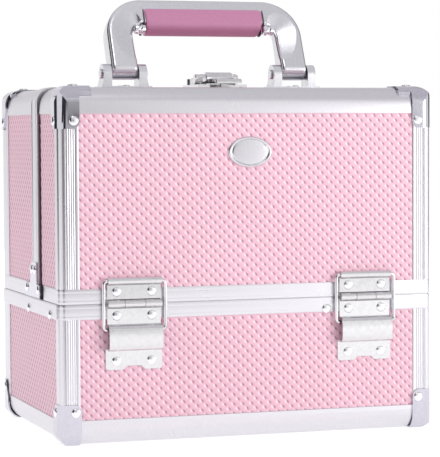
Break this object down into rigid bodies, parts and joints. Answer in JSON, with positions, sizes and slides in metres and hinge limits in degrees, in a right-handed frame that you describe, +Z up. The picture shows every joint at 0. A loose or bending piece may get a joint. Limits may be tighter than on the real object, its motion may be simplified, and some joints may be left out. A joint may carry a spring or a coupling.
{
  "type": "makeup storage case",
  "caption": "Makeup train case with an aluminium frame, hinged front and rear lids, swing-out trays, a folding carrying handle and a hasp lock.",
  "frame": {"origin": "middle of the case on the surface it stands on", "axes": "+X to the right, +Y to the back, +Z up; the front with the badge faces -Y"},
  "size_m": [0.2558, 0.1734, 0.2834],
  "materials": {
    "pink_panel": "embossed pink sheet on board, satin",
    "base_board": "black covered board",
    "aluminium_bar": "satin anodised extrusion",
    "corner_steel": "plated sheet steel",
    "hinge_steel": "nickel plated steel",
    "lining": "black foam lining with a fine nap",
    "tray_plastic": "black lined tray",
    "divider_plastic": "black lined divider",
    "gap_seal": "matt black sealing strip",
    "grip": "soft mauve pink insert",
    "mirror_glass": "mirror glass",
    "badge_metal": "satin oval plate",
    "arm_steel": "zinc plated strip",
    "handle_metal": "satin silver die casting"
  },
  "bodies": {
    "base": {"base_front_panel": "pink_panel", "base_back_panel": "pink_panel", "base_side_panels": "pink_panel", "base_floor_panel": "base_board", "base_bottom_bars": "aluminium_bar", "base_corner_posts": "aluminium_bar", "base_rim_bars": "aluminium_bar", "base_corner_guards": "corner_steel", "base_lining": "lining", "base_rivets": "hinge_steel", "front_hinge_straps": "hinge_steel", "rear_hinge_straps": "hinge_steel", "front_hinge_pins": "hinge_steel", "rear_hinge_pins": "hinge_steel", "arm_brackets": "arm_steel"},
    "front_lid": {"front_lid_front_panel": "pink_panel", "front_lid_top_panel": "pink_panel", "front_lid_side_panels": "pink_panel", "front_lid_top_bars": "aluminium_bar", "front_lid_posts": "aluminium_bar", "front_lid_rim_bars": "aluminium_bar", "front_lid_corner_guards": "corner_steel", "front_lid_lining": "lining", "front_lid_rivets": "hinge_steel", "front_hinge_leaves": "hinge_steel", "badge": "badge_metal", "lock_strike": "hinge_steel"},
    "rear_lid": {"rear_lid_back_panel": "pink_panel", "rear_lid_top_panel": "pink_panel", "rear_lid_side_panels": "pink_panel", "rear_lid_top_bars": "aluminium_bar", "rear_lid_posts": "aluminium_bar", "rear_lid_rim_bars": "aluminium_bar", "rear_lid_gap_frame": "aluminium_bar", "rear_lid_gap_seals": "gap_seal", "rear_lid_corner_guards": "corner_steel", "rear_lid_lining": "lining", "rear_lid_rivets": "hinge_steel", "mirror": "mirror_glass", "tee_plates": "hinge_steel", "rear_hinge_leaves": "hinge_steel", "handle_brackets": "handle_metal", "handle_pins": "handle_metal", "lock_base": "hinge_steel"},
    "front_rings": {"front_hinge_rings": "hinge_steel"},
    "rear_rings": {"rear_hinge_rings": "hinge_steel"},
    "front_arms": {"front_arms": "arm_steel"},
    "rear_arms": {"rear_arms": "arm_steel"},
    "lid_links": {"lid_links": "arm_steel"},
    "lower_tray": {"lower_tray": "tray_plastic", "lower_tray_dividers": "divider_plastic", "tray_hangers_lower": "arm_steel"},
    "upper_tray": {"upper_tray": "tray_plastic", "upper_tray_dividers": "divider_plastic", "tray_hangers_upper": "arm_steel"},
    "handle": {"handle_frame": "handle_metal", "handle_grip": "grip"},
    "hasp": {"hasp": "hinge_steel"},
    "key_plug": {"key_plug": "hinge_steel"}
  },
  "joints": [
    {"name": "front_lid_hinge", "type": "hinge", "parent": "base", "child": "front_lid", "pos_m": [0, -0.0825, 0.0882], "axis": [1, 0, 0], "range_deg": [0, 90]},
    {"name": "rear_lid_hinge", "type": "hinge", "parent": "base", "child": "rear_lid", "pos_m": [0, 0.0825, 0.0882], "axis": [-1, 0, 0], "range_deg": [0, 90]},
    {"name": "front_ring_turn", "type": "hinge", "parent": "front_lid", "child": "front_rings", "pos_m": [0, -0.08235, 0.1025], "axis": [1, 0, 0], "range_deg": [-58.1, 0]},
    {"name": "rear_ring_turn", "type": "hinge", "parent": "rear_lid", "child": "rear_rings", "pos_m": [0, 0.08235, 0.1025], "axis": [-1, 0, 0], "range_deg": [-58.1, 0]},
    {"name": "front_arm_swing", "type": "hinge", "parent": "base", "child": "front_arms", "pos_m": [0, -0.056, 0.094], "axis": [1, 0, 0], "range_deg": [0, 90]},
    {"name": "rear_arm_swing", "type": "hinge", "parent": "base", "child": "rear_arms", "pos_m": [0, -0.016, 0.094], "axis": [1, 0, 0], "range_deg": [0, 90]},
    {"name": "lid_link_turn", "type": "hinge", "parent": "front_lid", "child": "lid_links", "pos_m": [0, -0.06129, 0.10941], "axis": [1, 0, 0], "range_deg": [-90, 0]},
    {"name": "lower_tray_turn", "type": "hinge", "parent": "front_arms", "child": "lower_tray", "pos_m": [0, -0.01601, 0.13399], "axis": [1, 0, 0], "range_deg": [-90, 0]},
    {"name": "upper_tray_turn", "type": "hinge", "parent": "front_arms", "child": "upper_tray", "pos_m": [0, 0.02397, 0.17397], "axis": [1, 0, 0], "range_deg": [-90, 0]},
    {"name": "handle_fold", "type": "hinge", "parent": "rear_lid", "child": "handle", "pos_m": [0, 0.004, 0.2335], "axis": [-1, 0, 0], "range_deg": [-35, 62]},
    {"name": "hasp_lift", "type": "hinge", "parent": "rear_lid", "child": "hasp", "pos_m": [0, -0.016, 0.2303], "axis": [-1, 0, 0], "range_deg": [0, 100]},
    {"name": "key_turn", "type": "hinge", "parent": "rear_lid", "child": "key_plug", "pos_m": [-0.0105, 0, 0.226], "axis": [0, 0, 1], "range_deg": [0, 90]}
  ],
  "couplings": [
    {"joint": "front_ring_turn", "follows": "front_lid_hinge", "ratio": -0.645},
    {"joint": "rear_ring_turn", "follows": "rear_lid_hinge", "ratio": -0.645},
    {"joint": "front_arm_swing", "follows": "front_lid_hinge", "ratio": 1},
    {"joint": "rear_arm_swing", "follows": "front_lid_hinge", "ratio": 1},
    {"joint": "lid_link_turn", "follows": "front_lid_hinge", "ratio": -1},
    {"joint": "lower_tray_turn", "follows": "front_lid_hinge", "ratio": -1},
    {"joint": "upper_tray_turn", "follows": "front_lid_hinge", "ratio": -1}
  ]
}
